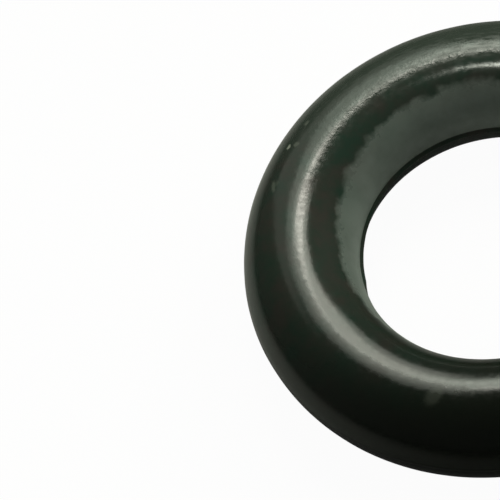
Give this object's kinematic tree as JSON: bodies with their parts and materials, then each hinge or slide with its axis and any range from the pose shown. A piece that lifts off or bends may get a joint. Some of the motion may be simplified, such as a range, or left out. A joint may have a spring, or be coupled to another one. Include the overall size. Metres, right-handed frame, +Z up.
{
  "type": "o-ring",
  "caption": "Moulded black rubber O-ring of round section, with a fine trimmed parting line round its hole and rim, for sealing a shaft, plug or groove.",
  "frame": {"origin": "centre of the circle on which the ring rests, in the plane of the surface under it", "axes": "+Z up along the ring's axis; X and Y in the plane of the ring, in no special direction because the ring is round"},
  "size_m": [0.013, 0.013, 0.003],
  "materials": {
    "nitrile_rubber": "moulded, semi-gloss"
  },
  "bodies": {
    "root": {"o_ring": "nitrile_rubber"}
  },
  "joints": []
}
